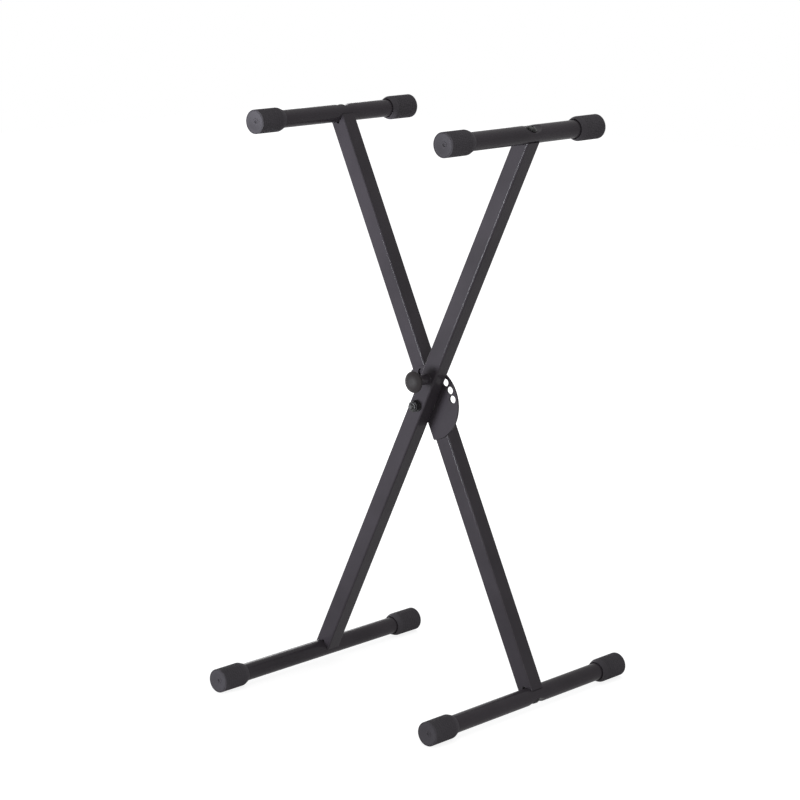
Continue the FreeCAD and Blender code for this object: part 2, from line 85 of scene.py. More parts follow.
# End caps, measured from the mouth.
CAP_SIDES = 48
CAP_LENGTH = 59 * MM
CAP_RADIUS = 20 * MM
CAP_BORE = BAR_RADIUS + 0.1 * MM
CAP_MOUTH = CAP_BORE + 1.2 * MM
CAP_MOUTH_DEPTH = 5 * MM
CAP_LIP = CAP_BORE + 2 * MM
CAP_TAPER = 8 * MM
CAP_FLOOR = 54 * MM
CAP_SHOULDER_ROUND = 1.8 * MM
CAP_RIM_ROUND = 1.2 * MM
CAP_FACE_RADIUS = 17.6 * MM
CAP_GROOVE_WIDTH = 0.9 * MM
CAP_GROOVE_DEPTH = 0.7 * MM
CAP_DISH_DEPTH = 3.1 * MM
CAP_PIP_RADIUS = 2.5 * MM
CAP_PIP_DRAFT = 0.3 * MM
CAP_PIP_DEPTH = 1 * MM
CAP_NUB_RADIUS = 0.9 * MM
CAP_NUB_TIP_SHARE = 0.7
# The dished end and the raised ring round its pip: (radius, depth below the rim).
CAP_DISH = (
    (15.8 * MM, 0),
    (12.6 * MM, 1.1 * MM),
    (9.2 * MM, 2.3 * MM),
    (5.6 * MM, CAP_DISH_DEPTH),
)
CAP_PIP_RING = ((4.7 * MM, 2.4 * MM), (3.5 * MM, 2.4 * MM))
# The block grip.
KNURL_START = 12 * MM
KNURL_END = 56 * MM
KNURL_RAMP = 0.6 * MM
KNURL_ROWS = 9
KNURL_HEIGHT = 0.6 * MM
KNURL_GROOVE = 0.6 * MM

# Crossbar bolts; the seat is how far the head sits from the bar's axis.
BOLT_SEAT = 11.11 * MM
BOLT_RADIUS = 4 * MM
BOLT_SIDES = 48
BOLT_LENGTH = 50 * MM
BOLT_TIP_LENGTH = 0.8 * MM
BOLT_TIP_DRAFT = 0.6 * MM
BOLT_HEAD_RADIUS = 7.5 * MM
BOLT_HEAD_RIM = 1.2 * MM
BOLT_HEAD_HEIGHT = 3.2 * MM
BOLT_HEAD_ROUND = 0.9 * MM
BOLT_CROWN_RADIUS = 4 * MM
SOCKET_FLATS = 5 * MM
SOCKET_DEPTH = 2 * MM

# Pivot bolt, its locking nut and washers.
PIVOT_SIDES = 40
PIVOT_RADIUS = 5 * MM
THREAD_PITCH = 1.5 * MM
THREAD_DEPTH = 0.75 * MM
THREAD_START = 0.5 * MM
THREAD_LENGTH = 18 * MM
THREAD_TIP_DRAFT = 0.4 * MM
THREAD_RUNOUT = 1 * MM
HEX_FLATS = 17 * MM
HEX_CHAMFER = 1.1 * MM
HEX_FACE_INSET = 0.3 * MM
HEX_CORNER_SPARE = 0.1 * MM
HEX_BARREL_SIDES = 64
NUT_HEX_HEIGHT = 7.5 * MM
NUT_COLLAR_SIDES = 48
NUT_COLLAR_RADIUS = 7.25 * MM
# How the collar curls in at its end: (below the end, inward).
NUT_COLLAR_CURL = ((0.8 * MM, 0), (0.2 * MM, 0.5 * MM), (0, 1.2 * MM))
WASHER_SIDES = 56
WASHER_EDGE_ROUND = 0.4 * MM

# Pull knob.
KNOB_SIDES = 64
KNOB_RADIUS = 18 * MM
KNOB_LENGTH = 17 * MM
KNOB_NECK_RADIUS = 9.5 * MM
KNOB_NECK = 5 * MM
KNOB_FLARE = 4 * MM
KNOB_RIM = 2.5 * MM
KNOB_CROWN_RADIUS = 9 * MM
KNOB_NECK_ROUND = 2 * MM
KNOB_BACK_ROUND = 0.7 * MM
KNOB_EDGE_ROUND = 1.6 * MM
KNOB_CROWN_ROUND = 5 * MM

# Weld beads on the locking plate; the shares are of the bead's radius or of a ripple.
BEAD_SIDES = 14
BEAD_RADIUS = 1.7 * MM
BEAD_LENGTH = 30 * MM
BEAD_RIPPLE = 2.2 * MM
BEAD_CREST_SHARE = 0.35
BEAD_VALLEY_SHARE = 0.85
BEAD_TAIL_SHARE = 0.5
BEAD_VALLEY_RADIUS_SHARE = 0.86
BEAD_END_RADIUS_SHARE = 0.4
BEAD_PLACES = (-36 * MM, 36 * MM)

# The weld round the pin housing.
HOUSING_RADIUS = 8.25 * MM
RING_WELD_SEGMENTS = 72
RING_WELD_SIDES = 12
RING_WELD_RADIUS = 1.2 * MM
RING_WELD_GAP = 0.5 * MM
RING_WELD_SWELL = 0.15 * MM
RING_WELD_STEP = math.radians(20)


# Mesh tools


def select_parts(piece, kind, test):
    """In edit mode, selects the edges or faces that pass the test, and nothing else."""
    bpy.ops.mesh.select_mode(type=kind)
    bpy.ops.mesh.select_all(action="DESELECT")
    mesh = bmesh.from_edit_mesh(piece.data)
    for part in mesh.edges if kind == "EDGE" else mesh.faces:
        part.select_set(test(part))
    bmesh.update_edit_mesh(piece.data)


def work_on(piece):
    """Makes the piece the only selected object and opens it in edit mode."""
    bpy.ops.object.select_all(action="DESELECT")
    piece.select_set(True)
    bpy.context.view_layer.objects.active = piece
    bpy.ops.object.mode_set(mode="EDIT")


def close_up(piece, smooth_angle=35):
    """Merges doubles, turns all faces outward and smooths the soft edges."""
    work_on(piece)
    bpy.ops.mesh.select_all(action="SELECT")
    bpy.ops.mesh.remove_doubles(threshold=MERGE_DISTANCE)
    bpy.ops.mesh.normals_make_consistent(inside=False)
    bpy.ops.object.mode_set(mode="OBJECT")
    bpy.ops.object.shade_smooth_by_angle(angle=math.radians(smooth_angle))
    return piece


def turn(name, rings, sides):
    """A turned piece along +Z: a disc drawn out ring by ring, each ring (height, radius)."""
    bpy.ops.object.select_all(action="DESELECT")
    height, radius = rings[0]
    bpy.ops.mesh.primitive_circle_add(
        vertices=sides, radius=radius, fill_type="NGON", location=(0, 0, height)
    )
    piece = bpy.context.object
    piece.name = name
    bpy.ops.object.transform_apply(location=True, rotation=False, scale=False)
    bpy.ops.object.mode_set(mode="EDIT")
    bpy.ops.mesh.select_all(action="SELECT")
    for next_height, next_radius in rings[1:]:
        rise = (0, 0, next_height - height)
        bpy.ops.mesh.extrude_region_move(TRANSFORM_OT_translate={"value": rise})
        spread = next_radius / radius
        bpy.ops.transform.resize(
            value=(spread, spread, 1), center_override=(0, 0, next_height)
        )
        height, radius = next_height, next_radius
    bpy.ops.mesh.select_all(action="SELECT")
    bpy.ops.mesh.normals_make_consistent(inside=False)
    bpy.ops.object.mode_set(mode="OBJECT")
    return piece


def on_ring(vertex, height, radius):
    """Whether a vertex of a turned piece lies at that height and radius."""
    near = 0.01 * MM
    return (
        abs(vertex.co.z - height) < near
        and abs(vertex.co.xy.length - radius) < near
    )


def round_ring(piece, height, radius, width, segments):
    """Rounds the edge ring of a turned piece at that height and radius."""
    work_on(piece)
    select_parts(
        piece, "EDGE", lambda e: all(on_ring(v, height, radius) for v in e.verts)
    )
    bpy.ops.mesh.bevel(offset=width, segments=segments, affect="EDGES")
    bpy.ops.object.mode_set(mode="OBJECT")


def carve(piece, tool, operation):
    """Joins, cuts or crosses the piece with a tool shape, which is used up."""
    cut = piece.modifiers.new("carve", "BOOLEAN")
    cut.operation = operation
    cut.solver = "EXACT"
    cut.object = tool
    bpy.ops.object.select_all(action="DESELECT")
    piece.select_set(True)
    bpy.context.view_layer.objects.active = piece
    bpy.ops.object.modifier_apply(modifier=cut.name)
    bpy.data.objects.remove(tool)


def hexagon(name, flats, low, high):
    """A six-sided bar along +Z, as wide across its flats as given."""
    across_corners = flats / math.cos(math.pi / 6)
    return turn(name, [(low, across_corners / 2), (high, across_corners / 2)], 6)


def chamfered_hexagon(name, flats, low, high):
    """A bolt head or nut: a hexagon with its corners turned down to a cone at both ends."""
    piece = hexagon(name, flats, low, high)
    corner = flats / math.cos(math.pi / 6) / 2
    face = flats / 2 - HEX_FACE_INSET
    barrel = turn(
        "chamfer_barrel",
        [
            (low, face),
            (low + HEX_CHAMFER, corner + HEX_CORNER_SPARE),
            (high - HEX_CHAMFER, corner + HEX_CORNER_SPARE),
            (high, face),
        ],
        HEX_BARREL_SIDES,
    )
    carve(piece, barrel, "INTERSECT")
    return piece


def stand_on(place, direction):
    """The matrix that stands a piece made along +Z at a place, pointing in a direction."""
    turned = direction.to_track_quat("Z", "Y").to_matrix().to_4x4()
    return Matrix.Translation(place) @ turned


def fit(master, name, where, body, slot, nodes=()):
    """Puts a copy of a modelled piece in its place, in its finish, and ties it to the frame."""
    piece = master.copy()
    piece.data = master.data.copy()
    piece.name = piece.data.name = name
    piece.data.transform(where)
    piece.data.materials.clear()
    piece.data.materials.append(FINISHES[slot])
    bpy.context.scene.collection.objects.link(piece)
    if nodes:
        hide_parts(*nodes)
    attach(piece, body)
    return piece


def body_of(node):
    """The body that a node of the frame belongs to."""
    return frame["nodes"][node]["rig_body"]


def middle_of(node):
    """The middle of a node's box."""
    low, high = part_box(node)
    return (low + high) / 2


# Finishes

# Agreement of the soft and the true normal, on a flat face and at a sharp edge.
EDGE_FLAT = 0.995
EDGE_SHARP = 0.86
DUST_ROUGHENS = 0.2


def add_node(tree, kind, inputs=None, **settings):
    """Adds a node, sets its options, and links or sets its inputs."""
    node = tree.nodes.new(kind)
    for option, setting in settings.items():
        setattr(node, option, setting)
    for socket, source in (inputs or {}).items():
        if isinstance(source, bpy.types.NodeSocket):
            tree.links.new(source, node.inputs[socket])
        else:
            node.inputs[socket].default_value = source
    return node


def new_group(name, inputs, outputs):
    """An empty shader node group with float inputs and named outputs."""
    group = bpy.data.node_groups.new(name, "ShaderNodeTree")
    for label, default in inputs.items():
        socket = group.interface.new_socket(
            name=label, in_out="INPUT", socket_type="NodeSocketFloat"
        )
        socket.default_value = default
    for label, kind in outputs.items():
        group.interface.new_socket(name=label, in_out="OUTPUT", socket_type=kind)
    return group, group.nodes.new("NodeGroupInput"), group.nodes.new("NodeGroupOutput")


def math_node(tree, operation, first, second=0.0, clamp=False):
    """Joins two values by a calculation."""
    node = add_node(
        tree,
        "ShaderNodeMath",
        {0: first, 1: second},
        operation=operation,
        use_clamp=clamp,
    )
    return node.outputs[0]


def spread_out(tree, value, low, high, to_low=0.0, to_high=1.0):
    """Maps a value from low..high to another range, clamped."""
    node = add_node(
        tree,
        "ShaderNodeMapRange",
        {0: value, 1: low, 2: high, 3: to_low, 4: to_high},
    )
    return node.outputs[0]


def make_grain_group():
    """The skin of a sprayed or moulded surface: rounded bumps with finer grit in them."""
    group, given, out = new_group(
        "skin_grain",
        {"Bump Size": 0.0008, "Grit Size": 0.0002, "Grit Share": 0.4},
        {"Height": "NodeSocketFloat", "Fleck": "NodeSocketFloat"},
    )
    place = add_node(group, "ShaderNodeTexCoord").outputs["Object"]
    bump_scale = math_node(group, "DIVIDE", 1.0, given.outputs["Bump Size"])
    grit_scale = math_node(group, "DIVIDE", 1.0, given.outputs["Grit Size"])
    bumps = add_node(
        group,
        "ShaderNodeTexVoronoi",
        {"Vector": place, "Scale": bump_scale, "Smoothness": 0.6},
        feature="SMOOTH_F1",
    ).outputs["Distance"]
    grit = add_node(
        group,
        "ShaderNodeTexNoise",
        {"Vector": place, "Scale": grit_scale, "Detail": 3.0, "Roughness": 0.6},
    ).outputs["Fac"]
    grit_part = math_node(group, "MULTIPLY", grit, given.outputs["Grit Share"])
    height = math_node(group, "ADD", bumps, grit_part)
    group.links.new(height, out.inputs["Height"])
    group.links.new(spread_out(group, grit, 0.35, 0.7), out.inputs["Fleck"])
    return group


def make_edge_group():
    """Where a finish rubs off first: a broken line along outer edges, and soft normals."""
    group, given, out = new_group(
        "edge_wear",
        {"Width": 0.0008, "Patch Size": 0.006, "Wear": 0.5},
        {"Mask": "NodeSocketFloat", "Normal": "NodeSocketVector"},
    )
    place = add_node(group, "ShaderNodeTexCoord").outputs["Object"]
    soft = add_node(
        group, "ShaderNodeBevel", {"Radius": given.outputs["Width"]}, samples=6
    ).outputs["Normal"]
    hard = add_node(group, "ShaderNodeNewGeometry").outputs["Normal"]
    agree = add_node(
        group, "ShaderNodeVectorMath", {0: soft, 1: hard}, operation="DOT_PRODUCT"
    ).outputs["Value"]
    edge = spread_out(group, agree, EDGE_FLAT, EDGE_SHARP)
    patch_scale = math_node(group, "DIVIDE", 1.0, given.outputs["Patch Size"])
    patches = add_node(
        group,
        "ShaderNodeTexNoise",
        {"Vector": place, "Scale": patch_scale, "Detail": 5.0, "Roughness": 0.65},
    ).outputs["Fac"]
    broken = spread_out(group, patches, 0.42, 0.62)
    worn = math_node(group, "MULTIPLY", edge, broken)
    worn = math_node(group, "MULTIPLY", worn, given.outputs["Wear"], clamp=True)
    group.links.new(worn, out.inputs["Mask"])
    group.links.new(soft, out.inputs["Normal"])
    return group


def make_dust_group():
    """Dust that has settled on the upper sides, in soft patches."""
    group, given, out = new_group(
        "settled_dust",
        {"Amount": 0.3, "Patch Size": 0.05},
        {"Mask": "NodeSocketFloat"},
    )
    coordinates = add_node(group, "ShaderNodeTexCoord")
    facing = add_node(
        group, "ShaderNodeSeparateXYZ", {"Vector": coordinates.outputs["Normal"]}
    ).outputs["Z"]
    upper = spread_out(group, facing, 0.1, 0.95)
    patch_scale = math_node(group, "DIVIDE", 1.0, given.outputs["Patch Size"])
    patches = add_node(
        group,
        "ShaderNodeTexNoise",
        {
            "Vector": coordinates.outputs["Object"],
            "Scale": patch_scale,
            "Detail": 8.0,
            "Roughness": 0.7,
        },
    ).outputs["Fac"]
    settled = math_node(group, "MULTIPLY", upper, spread_out(group, patches, 0.3, 0.75))
    settled = math_node(group, "MULTIPLY", settled, given.outputs["Amount"], clamp=True)
    group.links.new(settled, out.inputs["Mask"])
    return group


def make_tone_group():
    """Slow changes of tone over the surface, as between one spray pass and the next."""
    group, given, out = new_group(
        "tone_drift",
        {"Patch Size": 0.08, "Streak": 1.0},
        {"Mask": "NodeSocketFloat"},
    )
    place = add_node(group, "ShaderNodeTexCoord").outputs["Object"]
    streak = add_node(
        group, "ShaderNodeCombineXYZ", {"X": 1.0, "Y": 1.0, "Z": given.outputs["Streak"]}
    ).outputs[0]
    stretched = add_node(
        group, "ShaderNodeVectorMath", {0: place, 1: streak}, operation="MULTIPLY"
    ).outputs[0]
    patch_scale = math_node(group, "DIVIDE", 1.0, given.outputs["Patch Size"])
    drift = add_node(
        group,
        "ShaderNodeTexNoise",
        {"Vector": stretched, "Scale": patch_scale, "Detail": 4.0, "Roughness": 0.55},
    ).outputs["Fac"]
    group.links.new(spread_out(group, drift, 0.3, 0.7), out.inputs["Mask"])
    return group


skin_grain = make_grain_group()
edge_wear = make_edge_group()
settled_dust = make_dust_group()
tone_drift = make_tone_group()


def blend_colours(tree, mask, first, second):
    """A colour that goes from the first to the second as the mask goes from 0 to 1."""
    mix = add_node(
        tree, "ShaderNodeMix", {0: mask, 6: first, 7: second}, data_type="RGBA"
    )
    return mix.outputs[2]


def grey(level, warmth=0.0):
    """A near-neutral colour; warmth below 0 leans to blue, above 0 to brown."""
    return (level * (1 + warmth), level, level * (1 - warmth), 1.0)


def violet(level, red=1.15, blue=1.18):
    """A black that leans to violet, by its shares of red and blue."""
    return (level * red, level, level * blue, 1.0)


def make_finish(name, tones, roughness, grain, wear, dust, sockets):
    """A finish from the shared effects.

    tones: (dark, light, worn, dusty) colours; roughness: (low, high); grain: (bump size,
    grit size, grit share, depth); wear: (edge width, patch size, amount); dust: amount.
    """
    finish = bpy.data.materials.new(name)
    finish.use_nodes = True
    tree = finish.node_tree
    shader = tree.nodes["Principled BSDF"]
    for socket, level in sockets.items():
        shader.inputs[socket].default_value = level
    dark, light, worn, dusty = tones
    bump_size, grit_size, grit_share, depth = grain
    edge_width, patch_size, wear_amount = wear

    skin = add_node(
        tree,
        "ShaderNodeGroup",
        node_tree=skin_grain,
        inputs={"Bump Size": bump_size, "Grit Size": grit_size, "Grit Share": grit_share},
    )
    edges = add_node(
        tree,
        "ShaderNodeGroup",
        node_tree=edge_wear,
        inputs={"Width": edge_width, "Patch Size": patch_size, "Wear": wear_amount},
    )
    tone = add_node(tree, "ShaderNodeGroup", node_tree=tone_drift)
    film = add_node(
        tree, "ShaderNodeGroup", node_tree=settled_dust, inputs={"Amount": dust}
    )

    colour = blend_colours(tree, tone.outputs["Mask"], dark, light)
    colour = blend_colours(tree, edges.outputs["Mask"], colour, worn)
    colour = blend_colours(tree, film.outputs["Mask"], colour, dusty)
    tree.links.new(colour, shader.inputs["Base Color"])

    low, high = roughness
    rough = spread_out(tree, skin.outputs["Fleck"], 0.0, 1.0, low, high)
    dulled = math_node(tree, "MULTIPLY", film.outputs["Mask"], DUST_ROUGHENS)
    rough = math_node(tree, "ADD", rough, dulled, clamp=True)
    tree.links.new(rough, shader.inputs["Roughness"])

    bump = add_node(
        tree,
        "ShaderNodeBump",
        {
            "Strength": 1.0,
            "Distance": depth,
            "Height": skin.outputs["Height"],
            "Normal": edges.outputs["Normal"],
        },
    )
    tree.links.new(bump.outputs["Normal"], shader.inputs["Normal"])
    return finish


FINISHES = {
    "black_coat": make_finish(
        "satin_black_coat",
        tones=(violet(0.0242), violet(0.0322), grey(0.07), grey(0.11, 0.03)),
        roughness=(0.36, 0.5),
        grain=(0.9 * MM, 0.25 * MM, 0.35, 0.012 * MM),
        wear=(1.0 * MM, 9 * MM, 0.12),
        dust=0.05,
        sockets={"Specular IOR Level": 0.03, "Coat Weight": 0.13, "Coat Roughness": 0.09},
    ),
    "cap_rubber": make_finish(
        "matt_cap_rubber",
        tones=(
            violet(0.043, 1.08, 1.12),
            violet(0.055, 1.08, 1.12),
            grey(0.1),
            grey(0.13, -0.05),
        ),
        roughness=(0.62, 0.8),
        grain=(0.5 * MM, 0.15 * MM, 0.6, 0.009 * MM),
        wear=(0.4 * MM, 7 * MM, 0.14),
        dust=0.04,
        sockets={"Specular IOR Level": 0.06},
    ),
    "black_fasteners": make_finish(
        "blackened_steel",
        tones=(grey(0.01), grey(0.018), grey(0.22), grey(0.12)),
        roughness=(0.22, 0.38),
        grain=(0.6 * MM, 0.12 * MM, 0.5, 0.006 * MM),
        wear=(0.5 * MM, 3 * MM, 0.4),
        dust=0.02,
        sockets={"Specular IOR Level": 0.28, "Metallic": 0.15},
    ),
    "zinc_steel": make_finish(
        "bright_zinc",
        tones=(grey(0.5), grey(0.62), grey(0.75), grey(0.45)),
        roughness=(0.22, 0.38),
        grain=(0.7 * MM, 0.1 * MM, 0.5, 0.005 * MM),
        wear=(0.4 * MM, 3 * MM, 0.5),
        dust=0.02,
        sockets={"Metallic": 1.0},
    ),
    "knob_plastic": make_finish(
        "moulded_black_plastic",
        tones=(
            violet(0.0106, 1.2, 1.05),
            violet(0.0138, 1.2, 1.05),
            grey(0.08),
            grey(0.12, 0.03),
        ),
        roughness=(0.5, 0.62),
        grain=(0.35 * MM, 0.12 * MM, 0.5, 0.008 * MM),
        wear=(1.0 * MM, 8 * MM, 0.2),
        dust=0.03,
        sockets={"Specular IOR Level": 0.15},
    ),
    "black_nylon": make_finish(
        "black_nylon",
        tones=(grey(0.02), grey(0.03), grey(0.06), grey(0.1)),
        roughness=(0.45, 0.6),
        grain=(0.4 * MM, 0.12 * MM, 0.5, 0.006 * MM),
        wear=(0.6 * MM, 5 * MM, 0.3),
        dust=0.02,
        sockets={"Specular IOR Level": 0.4},
    ),
}

for node in frame["nodes"].values():
    node.data.materials[0] = FINISHES[node.data.materials[0].name]


# End caps


def model_cap():
    """A rubber end cap from its mouth at 0 to its closed end, with a fine block grip."""
    wall = CAP_RADIUS - KNURL_HEIGHT
    rows = [
        (KNURL_START + (KNURL_END - KNURL_START) * row / KNURL_ROWS, wall)
        for row in range(KNURL_ROWS + 1)
    ]
    dish_floor = CAP_LENGTH - CAP_DISH_DEPTH
    rings = [
        (CAP_FLOOR, CAP_BORE),
        (CAP_MOUTH_DEPTH, CAP_BORE),
        (0, CAP_MOUTH),
        (0, CAP_LIP),
        (CAP_TAPER, CAP_RADIUS),
        (KNURL_START - KNURL_RAMP, CAP_RADIUS),
        *rows,
        (KNURL_END + KNURL_RAMP, CAP_RADIUS),
        (CAP_LENGTH, CAP_RADIUS),
        (CAP_LENGTH, CAP_FACE_RADIUS + CAP_GROOVE_WIDTH),
        (CAP_LENGTH - CAP_GROOVE_DEPTH, CAP_FACE_RADIUS + CAP_GROOVE_WIDTH / 2),
        (CAP_LENGTH, CAP_FACE_RADIUS),
        *[(CAP_LENGTH - depth, radius) for radius, depth in CAP_DISH + CAP_PIP_RING],
        (dish_floor, CAP_PIP_RADIUS),
        (dish_floor - CAP_PIP_DEPTH, CAP_PIP_RADIUS - CAP_PIP_DRAFT),
        (dish_floor - CAP_PIP_DEPTH, CAP_NUB_RADIUS),
        (dish_floor - CAP_PIP_DEPTH / 2, CAP_NUB_RADIUS * CAP_NUB_TIP_SHARE),
    ]
    cap = turn("cap_pattern", rings, CAP_SIDES)
    round_ring(cap, CAP_TAPER, CAP_RADIUS, CAP_SHOULDER_ROUND, segments=6)
    round_ring(cap, CAP_LENGTH, CAP_RADIUS, CAP_RIM_ROUND, segments=6)
    work_on(cap)
    select_parts(
        cap,
        "FACE",
        lambda f: KNURL_START < f.calc_center_median().z < KNURL_END
        and f.calc_center_median().xy.length > CAP_LIP,
    )
    bpy.ops.mesh.inset(
        thickness=KNURL_GROOVE,
        depth=KNURL_HEIGHT,
        use_individual=True,
        use_even_offset=True,
    )
    bpy.ops.object.mode_set(mode="OBJECT")
    return close_up(cap)


cap_pattern = model_cap()
for bar in BARS:
    for side, outward in (("front", TO_FRONT), ("back", TO_BACK)):
        node = f"{bar}_{side}_cap"
        mouth = middle_of(node) - outward * CAP_LENGTH / 2
        fit(
            cap_pattern,
            f"{node}_rubber",
            stand_on(mouth, outward),
            body_of(node),
            "cap_rubber",
            [node],
        )
bpy.data.objects.remove(cap_pattern)


# Crossbar bolts


def model_crossbar_bolt():
    """A low domed bolt with a hexagon socket, its head seated at 0."""
    rings = [
        (-BOLT_LENGTH, BOLT_RADIUS - BOLT_TIP_DRAFT),
        (-BOLT_LENGTH + BOLT_TIP_LENGTH, BOLT_RADIUS),
        (0, BOLT_RADIUS),
        (0, BOLT_HEAD_RADIUS),
        (BOLT_HEAD_RIM, BOLT_HEAD_RADIUS),
        (BOLT_HEAD_HEIGHT, BOLT_CROWN_RADIUS),
    ]
    bolt = turn("bolt_pattern", rings, BOLT_SIDES)
    round_ring(bolt, BOLT_HEAD_RIM, BOLT_HEAD_RADIUS, BOLT_HEAD_ROUND, segments=5)
    round_ring(bolt, BOLT_HEAD_HEIGHT, BOLT_CROWN_RADIUS, BOLT_HEAD_ROUND, segments=5)
    socket = hexagon(
        "socket",
        SOCKET_FLATS,
        BOLT_HEAD_HEIGHT - SOCKET_DEPTH,
        BOLT_HEAD_HEIGHT + OVERLAP,
    )
    carve(bolt, socket, "DIFFERENCE")
    return close_up(bolt)


bolt_pattern = model_crossbar_bolt()
for bar in BARS:
    node = f"{bar}_bolt"
    outward = Vector((math.sin(LEG_LEAN), 0, math.cos(LEG_LEAN)))
    if "left" in bar:
        outward.x = -outward.x
    if "foot" in bar:
        outward.z = -outward.z
    seat = middle_of(f"{bar}_front_cap") + outward * BOLT_SEAT
    seat.y = middle_of(node).y
    fit(
        bolt_pattern,
        f"{node}_head",
        stand_on(seat, outward),
        body_of(node),
        "black_fasteners",
        [node],
    )
bpy.data.objects.remove(bolt_pattern)


# Pivot bolt and nut


def pivot_bore(length):
    """The tool that bores a piece of that length for the pivot bolt."""
    return turn(
        "pivot_bore",
        [(-OVERLAP, PIVOT_RADIUS), (length + OVERLAP, PIVOT_RADIUS)],
        PIVOT_SIDES,
    )


def model_pivot_bolt():
    """The pivot bolt: hexagon head, plain shank and a threaded end with a turned tip."""
    low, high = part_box("pivot_bolt")
    head_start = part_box("pivot_back_washer")[1].y - low.y
    length = high.y - low.y
    root = PIVOT_RADIUS - THREAD_DEPTH
    rings = [(0, root - THREAD_TIP_DRAFT), (THREAD_START, root)]
    height = THREAD_START
    while height < THREAD_LENGTH:
        rings.append((height + THREAD_PITCH / 2, PIVOT_RADIUS))
        rings.append((height + THREAD_PITCH, root))
        height += THREAD_PITCH
    rings.append((height + THREAD_RUNOUT, PIVOT_RADIUS))
    rings.append((head_start + OVERLAP, PIVOT_RADIUS))
    bolt = turn("pivot_bolt_turned", rings, PIVOT_SIDES)
    head = chamfered_hexagon("pivot_head", HEX_FLATS, head_start, length)
    carve(bolt, head, "UNION")
    return close_up(bolt, smooth_angle=30)


def model_pivot_nut():
    """The locking nut: a chamfered hexagon with the round collar that holds its nylon ring."""
    low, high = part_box("pivot_nut")
    length = high.y - low.y
    nut = chamfered_hexagon("pivot_nut_turned", HEX_FLATS, 0, NUT_HEX_HEIGHT)
    rings = [(NUT_HEX_HEIGHT - OVERLAP, NUT_COLLAR_RADIUS)]
    for below, inward in NUT_COLLAR_CURL:
        rings.append((length - below, NUT_COLLAR_RADIUS - inward))
    carve(nut, turn("nut_collar", rings, NUT_COLLAR_SIDES), "UNION")
    carve(nut, pivot_bore(length), "DIFFERENCE")
    return close_up(nut, smooth_angle=30)


def model_pivot_washer(thickness, outer):
    """A stamped washer with soft edges."""
    washer = turn("washer_pattern", [(0, outer), (thickness, outer)], WASHER_SIDES)
    for height in (0, thickness):
        round_ring(washer, height, outer, WASHER_EDGE_ROUND, segments=3)
    carve(washer, pivot_bore(thickness), "DIFFERENCE")
    return close_up(washer)


def fit_on_pivot(master, name, node, start, direction):
    """Stands a piece on the pivot's line, its own zero at the given distance along Y."""
    place = middle_of(node)
    place.y = start
    fit(
        master,
        name,
        stand_on(place, direction),
        body_of(node),
        "black_fasteners",
        [node],
    )
    bpy.data.objects.remove(master)


fit_on_pivot(
    model_pivot_bolt(), "pivot_bolt_threaded", "pivot_bolt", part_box("pivot_bolt")[0].y, TO_BACK
)
fit_on_pivot(
    model_pivot_nut(), "pivot_lock_nut", "pivot_nut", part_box("pivot_nut")[1].y, TO_FRONT
)
for node in ("pivot_front_washer", "pivot_back_washer"):
    low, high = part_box(node)
    washer = model_pivot_washer(high.y - low.y, (high.x - low.x) / 2)
    fit_on_pivot(washer, f"{node}_stamped", node, low.y, TO_BACK)


# Pull knob


def model_knob():
    """The mushroom knob, from the neck at 0 to its domed face."""
    rim = KNOB_NECK + KNOB_FLARE
    rings = [
        (0, KNOB_NECK_RADIUS),
        (KNOB_NECK, KNOB_NECK_RADIUS),
        (rim, KNOB_RADIUS),
        (rim + KNOB_RIM, KNOB_RADIUS),
        (KNOB_LENGTH, KNOB_CROWN_RADIUS),
    ]
    knob = turn("knob_pattern", rings, KNOB_SIDES)
    round_ring(knob, KNOB_NECK, KNOB_NECK_RADIUS, KNOB_NECK_ROUND, segments=5)
    round_ring(knob, rim, KNOB_RADIUS, KNOB_BACK_ROUND, segments=4)
    round_ring(knob, rim + KNOB_RIM, KNOB_RADIUS, KNOB_EDGE_ROUND, segments=8)
    round_ring(knob, KNOB_LENGTH, KNOB_CROWN_RADIUS, KNOB_CROWN_ROUND, segments=8)
    return close_up(knob, smooth_angle=60)


knob_back = middle_of("pull_knob")
knob_back.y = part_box("pull_knob")[1].y
knob_pattern = model_knob()
fit(
    knob_pattern,
    "pull_knob_moulded",
    stand_on(knob_back, TO_FRONT),
    body_of("pull_knob"),
    "knob_plastic",
    ["pull_knob"],
)
bpy.data.objects.remove(knob_pattern)


# Welds


def model_bead():
    """A short weld bead along +Z, rippled, with tapered ends."""
    ripples = round(BEAD_LENGTH / BEAD_RIPPLE)
    end_radius = BEAD_RADIUS * BEAD_END_RADIUS_SHARE
    valley_radius = BEAD_RADIUS * BEAD_VALLEY_RADIUS_SHARE
    rings = [(-BEAD_LENGTH / 2, end_radius)]
    for ripple in range(ripples):
        start = -BEAD_LENGTH / 2 + ripple * BEAD_RIPPLE
        rings.append((start + BEAD_RIPPLE * BEAD_CREST_SHARE, BEAD_RADIUS))
        rings.append((start + BEAD_RIPPLE * BEAD_VALLEY_SHARE, valley_radius))
    rings.append((rings[-1][0] + BEAD_RIPPLE * BEAD_TAIL_SHARE, end_radius))
    return close_up(turn("bead_pattern", rings, BEAD_SIDES), smooth_angle=60)


